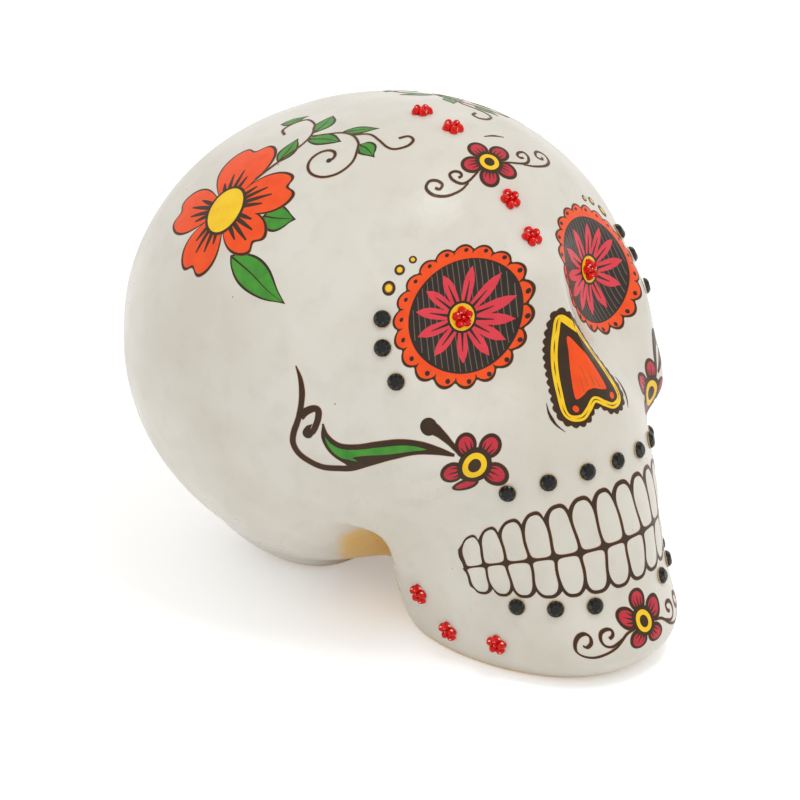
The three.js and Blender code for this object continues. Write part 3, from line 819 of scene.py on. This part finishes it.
def draw_crown_vine(film):
    """A vine over the crown: a stem with a curl, a branch that winds into a spiral, and six leaves."""
    stem = [(22.6, -9.1), (19.6, -1.3), (17.8, 5.7), (18.4, 10.8), (21.2, 15.2), (24.5, 18.1), (29.5, 20),
            (32.4, 17.4), (32.7, 13.1), (29, 10.3)]
    branch = [(18.2, 10.6), (14.5, 12), (9.5, 13.8), (4.8, 13.4), (0.9, 11.1)]
    turn = np.radians(np.linspace(135, 560, 13))
    winding = np.linspace(8.6, 1.1, 13)[:, None] * toward(turn) + [5.2, 2.6]
    tail = [(4.8, 13.4), (0.1, 15.1), (-4.3, 13.7), (-8, 12.2), (-10.6, 12.5), (-12.7, 15.4), (-12.5, 18.3),
            (-10.4, 19), (-8.7, 16.8)]
    leaves = (
        ([(19.8, -1.4), (20.3, 3.5), (21.6, 8.2)], 4.4),
        ([(37.5, 17), (34.7, 18.6), (32.3, 22.2)], 4.2),
        ([(18.8, 13), (19.6, 17.8), (21.7, 23)], 5.0),
        ([(17.5, 9), (12.5, 10), (6.8, 9.9)], 4.4),
        ([(8.8, 14.4), (5, 16), (0.2, 18.4)], 3.0),
        ([(-0.6, 9.8), (-3, 9.6), (-6.6, 7.7)], 4.0),
    )
    for path, width in leaves:
        draw_leaf(film, path, width, 0)
    film.line(stem, [0.7, 0.5, 0.5, 0.7], 2)
    film.line(np.concatenate([branch, winding]), [0.45, 0.5, 0.7], 2)
    film.disc(winding[-1], 0.8, "brown", 3)
    film.line(tail, [0.45, 0.5, 0.7], 2)


# The prints that each side has: how it is drawn, its aim from the heart if it isn't on the eye's seat, the
# piece, the CAD film it stands for, and the slot.
PAIRED_PRINTS = (
    (draw_eye, None, "eye_print", "eye_transfer", "orange_print"),
    (draw_brow_dots, None, "brow_dots_print", "brow_dots", "yellow_print"),
    (draw_cheek_flower, (36.5, 1.6), "cheek_flower_print", "cheek_flower", "red_print"),
    (draw_cheek_leaf, (76, 7), "cheek_leaf_print", "cheek_leaf", "green_print"),
    (draw_crown_flower, (122, 42), "crown_flower_print", "crown_flower", "orange_print"),
    (draw_crown_vine, (112, 64), "crown_vine_print", "crown_vine", "green_print"),
)


def make_nose():
    """An upturned heart: an orange middle in a dark band, a yellow band, and a brown scalloped edge."""
    seat = seat_at(from_heart(np.array([[0, -60.5, 82.0]]))[0])

    def place(flat):
        """The print sits a little to one side and leans, and its halves aren't quite alike."""
        across, up = flat.T
        across = np.where(across < 0, 0.9, 0.97) * across - 0.05 * up - 1.9
        return beside_seat(seat, np.stack([across, up], -1))

    film = Film(place)
    film.step_mm = 0.5
    outer = mirrored([(0, 16.7), (2.9, 14.2), (6.4, 8.4), (9.2, 1.5), (11.4, -4.5), (12.8, -9.6),
                      (11.6, -12.9), (7.8, -14.3), (4.2, -13.6), (1.8, -11.6), (0, -10.9)])
    band = mirrored([(0, 14.6), (2.3, 11), (4.6, 6.7), (7, 1.5), (9, -4), (10.4, -9.4), (9.4, -11.8),
                     (6, -12.4), (3, -10.8), (0, -8.9)])
    middle = mirrored([(0, 9.2), (1.6, 5), (3.8, -0.5), (5.3, -5), (5.6, -7.4), (3.4, -7), (1.2, -6),
                       (0, -5.9)])
    heart = (0, -4)
    edge = smooth_path(outer, True, 0.3)
    for ink, depth, layer in (("copper", 0.75, 0), ("brown", 0.6, 1)):
        film.fill(scalloped(edge, 2.5, depth), ink, layer, heart)
    film.stroke(band, 1.7, "yellow", 2, True)
    inside = smooth_path(band, True)
    dash = 9
    for start in range(0, len(inside) - dash, dash + 2):
        film.stroke(inside[start:start + dash], [0.05, 0.3, 0.05], "brown", 3)
    film.fill(smooth_path(middle, True), "orange", 3, (0, -3.5))
    for across, low, high in ((-2.4, -6, -2), (-0.6, -5, 1), (1.4, -5.4, -1), (3.2, -6.3, -3.6)):
        film.stroke([(across, low), (0.8 * across, high)], [0.3, 0.1], "copper", 4)
    for mirror in (-1, 1):
        film.disc((6.9 * mirror, -9.8), 0.95, "orange", 3)
        arc = np.array([(14.2, -6.5), (15, -9.5), (14.6, -12.6), (12.8, -15.2)]) * [mirror, 1]
        film.stroke(arc, [0.1, 1.1, 0.1], "brown", 1)
    film.build("nose_print", "nose_transfer")


def tooth_window(sides, bite, gum):
    """Points round a square, and on the same rays those of a window in it, rounder at the gum."""
    run = np.linspace(-1, 1, 13)[:-1]
    flat = 0 * run + 1
    four_sides = ((run, -flat), (flat, run), (-run, flat), (-flat, -run))
    square = np.concatenate([np.stack(pair, -1) for pair in four_sides])
    across, rise = np.abs(square).T
    power = np.where(square[:, 1] > 0, 4.0, 11.0)
    ends = np.where(square[:, 1] > 0, gum, bite)
    low, high = 0 * across, 0 * across + 1
    halvings = 30
    for _ in range(halvings):
        middle = (low + high) / 2
        inside = (middle * across / sides) ** 3 + (middle * rise / ends) ** power < 1
        low = np.where(inside, middle, low)
        high = np.where(inside, high, middle)
    return square, square * low[:, None]


def make_teeth():
    """Two rows of teeth, each with a dark outline that is rounded at the gum and thick where teeth meet."""
    degree_mm = 0.8
    film = Film(lambda flat: around_muzzle(flat[:, 0] / degree_mm, flat[:, 1]))
    numbers = np.arange(-TOOTH_COUNT, TOOTH_COUNT + 1)
    bite = TOOTH_MIDDLE + TOOTH_PITCH * numbers
    # Toward the gum the upper teeth lean to one side, less so at the ends, and the lower ones draw together.
    top = bite - 4.0 + 0.02 * numbers ** 2
    low = bite * 0.935
    end_line = 0.25
    outlines = (("copper", 0, 0.88, (0.87, 0.932, 0.84)), ("brown", 1, 0.72, (0.9, 0.95, 0.862)))

    def in_tooth(number, gum, line, valley, sign, grow, square):
        """Flat points of a tooth's square, whose rise goes from -1 at the bite to 1 at the gum."""
        across, rise = square.T
        share = (rise + 1) / 2
        edges = []
        for edge in (number, number + 1):
            # The lines between teeth are drawn by hand, so they wander a little.
            wave = 0.3 * np.sin(2.4 * edge + sign + 6 * share)
            edges.append(bite[edge] + share * (gum[edge] - bite[edge]) + wave)
        bearing = edges[0] + (across + 1) / 2 * (edges[1] - edges[0])
        start = line_height(BITE_LINE, bearing)
        finish = line_height(line, bearing) - sign * (valley * np.minimum(np.abs(across), 1) ** 2.8 - grow)
        return np.stack([bearing * degree_mm, start + share * (finish - start)], -1)

    for gum, line, valley, sign in ((top, TOP_LINE, TOP_VALLEY, 1), (low, LOW_LINE, LOW_VALLEY, -1)):
        for number in range(len(numbers) - 1):
            for ink, layer, grow, window_sizes in outlines:
                outside, window = tooth_window(*window_sizes)
                for end, way in ((0, -1), (len(numbers) - 2, 1)):
                    if number == end:
                        outside[outside[:, 0] == way, 0] += way * end_line
                shares = np.linspace(0, 1, 5)[:, None, None]
                frame_points = (window + shares * (outside - window)).reshape(-1, 2)
                flat = in_tooth(number, gum, line, valley, sign, grow, frame_points)
                film.add_grid(flat.reshape(5, -1, 2), True, ink, layer)
    film.build("teeth_print", "teeth_transfer")


def ring_points(radius, height, count, phase=0.0):
    turn = np.radians(phase) + np.linspace(0, 2 * np.pi, count, endpoint=False)
    return np.stack([radius * np.cos(turn), radius * np.sin(turn), np.full(count, float(height))], -1)


def painted_reflection_tone(number):
    """A painted reflection brightness from 0 to 1 that jumps about from one facet to the next."""
    return (5 * number) % 7 / 6


def make_stone_mesh():
    """A round cut stone: eight kites round a table, facets to the girdle, a flat back and a skirt of glue."""
    sides = 8
    table = ring_points(1.15, 1.4, sides)
    star = ring_points(1.7, 1.15, sides, 180 / sides)
    girdle = ring_points(2.25, 0.52, 2 * sides)
    foot = ring_points(2.25, 0.2, 2 * sides)
    skirt = ring_points(2.42, 0.0, 2 * sides)
    points = np.concatenate([table, star, girdle, foot, skirt])
    star_at, girdle_at, skirt_at = sides, 2 * sides, 6 * sides
    faces = [tuple(range(sides))]
    for number in range(sides):
        before, after = (number - 1) % sides, (number + 1) % sides
        faces.append((number, star_at + number, after))
        faces.append((star_at + before, girdle_at + 2 * number, star_at + number, number))
        for step in range(2):
            here = girdle_at + (2 * number + step) % (2 * sides)
            there = girdle_at + (2 * number + step + 1) % (2 * sides)
            faces.append((here, there, star_at + number))
    faces += [face[::-1] for face in grid_faces(3, 2 * sides, True, girdle_at)]
    glued = len(faces) - 2 * sides
    faces.append(tuple(range(skirt_at + 2 * sides - 1, skirt_at - 1, -1)))
    mesh = mesh_from("cut_stone", points, faces, False)
    # Black glass: near black where shaded, grey for its painted reflections, and a paler grey for a painted
    # glint.
    mesh.materials.append(make_gem_glass("black_stone", (6, 6, 6), (62, 61, 58), (128, 128, 124)))
    mesh.materials.append(make_glue())
    # Painted reflections: the table gets a middling brightness, and the other facets jump about between dark
    # and bright.
    painted_table_reflection = 0.3
    painted_reflection_tones = [painted_table_reflection] + [painted_reflection_tone(number) ** 2 for number in range(1, len(faces))]
    set_values(mesh, "facet", "FACE", painted_reflection_tones)
    for polygon in mesh.polygons:
        polygon.material_index = 1 if polygon.index >= glued else 0
    return mesh


def make_blossom_mesh():
    """Five red beads round a small one: a moulded flower gem."""
    points = []
    faces = []
    rings, columns = 5, 12
    beads = [(spoke((0, 0), angle, 0, 1.8)[1], 1.2, 1.7) for angle in 90 + EVEN_PETALS]
    for (across, up), radius, height in [*beads, ((0, 0), 0.9, 1.5)]:
        first = len(points)
        for ring in range(rings + 1):
            lift = math.pi / 2 * ring / rings
            share = max(math.cos(lift), 0.12)
            for point in ring_points(radius * share, height * math.sin(lift), columns, 15 * ring):
                points.append(point + [across, up, 0])
        faces += grid_faces(rings + 1, columns, True, first)
        faces.append(tuple(first + rings * columns + column for column in range(columns)))
        faces.append(tuple(first + columns - 1 - column for column in range(columns)))
    mesh = mesh_from("flower_gem", np.array(points), faces, False)
    # Red glass: deep red where shaded, bright red for its painted reflections, and pale pink for a painted
    # glint.
    mesh.materials.append(make_gem_glass("red_gem", (158, 0, 2), (252, 26, 12), (255, 216, 200)))
    # Painted reflections on every facet, and a painted glint on every 29th one.
    painted_glint_every, painted_glint = 29, 2.0
    painted_reflection_tones = [0.2 + 0.8 * painted_reflection_tone(number) for number in range(len(faces))]
    painted_reflection_tones[::painted_glint_every] = [painted_glint] * len(painted_reflection_tones[::painted_glint_every])
    set_values(mesh, "facet", "FACE", painted_reflection_tones)
    return mesh


def place_gem(node, mesh, seat, lift):
    """Sets a gem on its seat, clear of the skin and of any print below it."""
    stand = relief(seat["point"][None])[0] + lift
    spot = (seat["point"] + stand * seat["normal"]) * MM
    piece = link(f"{node}_cut", mesh)
    turn = Matrix([seat[way].tolist() for way in ("right", "up", "normal")]).transposed()
    piece.matrix_world = Matrix.Translation(Vector(spot.tolist())) @ turn.to_4x4()
    stand_for(piece, node)


# The CAD film of the teeth, which the CAD stones keep clear of: its middle height and how far that drops
# toward its ends, how wide it is in front and at its ends, and the bearing of its ends.
FILM_HEIGHT, FILM_DROP = 0.292 * HEIGHT, 7.5
FILM_FRONT_SPAN, FILM_END_SPAN = 27, 17
FILM_SWEEP = 70
STONE_RADIUS = 2.5


def beside_teeth(bearing, edge, gap):
    """A seat for a stone above the teeth, where edge is 1, or below them, where it is -1."""
    share = (bearing / FILM_SWEEP) ** 2
    span = FILM_FRONT_SPAN + share * (FILM_END_SPAN - FILM_FRONT_SPAN)
    middle = FILM_HEIGHT - FILM_DROP * share
    height = middle + edge * (span / 2 + gap + STONE_RADIUS)
    return seat_at(around_muzzle(np.array([float(bearing)]), np.array([height]))[0])


def make_gems():
    stone = make_stone_mesh()
    blossom = make_blossom_mesh()

    def set_stone(node, seat):
        place_gem(node, stone, seat, 0.12)

    def set_blossom(node, seat, lift=0.1):
        place_gem(node, blossom, seat, lift)

    lip_gap, chin_gap = 3.2, 0.8
    rows = (("lip", 1, lip_gap, (14.5, 30.5, 47)), ("chin", -1, chin_gap, (16, 29, 42.5)))
    set_stone("lip_stone_middle", beside_teeth(0, 1, lip_gap))
    for number, elevation in enumerate((99, 90, 70, 60), 1):
        set_blossom(f"forehead_blossom_{number}", aim_seat(0, elevation))
    for word, side in SIDES.items():
        set_blossom(f"eye_blossom_{word}", eye_seat(side), 0.3)
        for number, turn in enumerate((12, -8, -33), 1):
            flat = spoke((0, 0), turn, 0, TEMPLE_REACH)[1:]
            set_stone(f"temple_stone_{word}_{number}", seat_at(beside_seat(eye_seat(side), flat)[0]))
        for row, edge, gap, bearings in rows:
            for number, bearing in enumerate(bearings, 1):
                set_stone(f"{row}_stone_{word}_{number}", beside_teeth(bearing * side, edge, gap))
        for number, aim in enumerate(((55, -48), (43.5, -49), (30.5, -41.5)), 1):
            set_blossom(f"jaw_blossom_{word}_{number}", aim_seat(*aim, side))


def seen_rays(tree, strength):
    """A strength for the rays that show a background: from the camera, by reflection or through glass."""
    path = add_node(tree, "LightPath", {})
    seen = path.outputs["Is Camera Ray"]
    for kind in ("Is Glossy Ray", "Is Transmission Ray"):
        either = add_node(tree, "Math", {0: seen, 1: path.outputs[kind]}, operation="MAXIMUM")
        seen = either.outputs["Value"]
    return add_node(tree, "Math", {0: seen, 1: strength}, operation="MULTIPLY").outputs["Value"]


def make_floor(half, drop, glow):
    """A pale square floor just under the part. It glows a little, for the rays that show it."""
    corners = [(-half, -half, -drop), (half, -half, -drop), (half, half, -drop), (-half, half, -drop)]
    mesh = mesh_from("floor", corners, [(0, 1, 2, 3)])
    shader = Shader("pale_floor", 0.9, 0.0)
    shader.principled.inputs["Base Color"].default_value = srgb(250, 250, 250)
    shader.principled.inputs["Emission Color"].default_value = WHITE
    shader.feed("Emission Strength", seen_rays(shader.tree, glow))
    mesh.materials.append(shader.material)
    link("floor", mesh)


def make_world(fill_strength):
    """A soft even light all round that looks white to the camera."""
    world = bpy.data.worlds.new("studio")
    bpy.context.scene.world = world
    world.use_nodes = True
    tree = world.node_tree
    fill = tree.nodes["Background"]
    fill.inputs["Color"].default_value = WHITE
    fill.inputs["Strength"].default_value = fill_strength
    seen = add_node(tree, "Background", {"Color": WHITE})
    parts = {0: seen_rays(tree, 1.0), 1: fill.outputs["Background"], 2: seen.outputs["Background"]}
    mixer = add_node(tree, "MixShader", parts)
    tree.links.new(mixer.outputs["Shader"], tree.nodes["World Output"].inputs["Surface"])


def stand_at(data, target, bearing, elevation, distance):
    """Puts a lamp or a camera at a distance in metres from a target, and turns it to face that."""
    holder = link(data.name, data)
    direction = Vector(unit_from(bearing, elevation).tolist())
    holder.location = Vector(target) + distance * direction
    holder.rotation_euler = direction.to_track_quat("Z", "Y").to_euler()
    return holder


def make_lamp(name, size, power, **stand):
    """A square soft box that faces the part."""
    lamp = bpy.data.lights.new(name, "AREA")
    lamp.size = size
    lamp.energy = power
    stand_at(lamp, (0, 0, 0.06), **stand)


def make_camera(lens, target, **stand):
    camera = bpy.data.cameras.new("photo_camera")
    camera.sensor_width = 36
    camera.lens = lens
    bpy.context.scene.camera = stand_at(camera, target, **stand)


make_camera(lens=162, target=(0.0014, 0.012, 0.0467), bearing=-42.5, elevation=25.2, distance=1)
stand_for(make_skin(), "skull_skin")
foam_materials = bpy.data.objects["foam_core"].data.materials
foam_materials.clear()
foam_materials.append(make_foam())
make_forehead_flower()
make_chin_flower()
make_nose()
make_teeth()
for word, side in SIDES.items():
    for draw, aim, name, node, slot in PAIRED_PRINTS:
        film = Film(seat_place(aim_seat(*aim, side) if aim else eye_seat(side)))
        draw(film)
        film.build(f"{name}_{word}", f"{node}_{word}")
make_gems()
make_floor(half=4000.0, drop=0.3, glow=0.3)
make_world(fill_strength=0.82)
make_lamp("key_box", size=0.35, power=3.2, bearing=4, elevation=70, distance=1.3)
bpy.context.scene.view_settings.view_transform = "Standard"
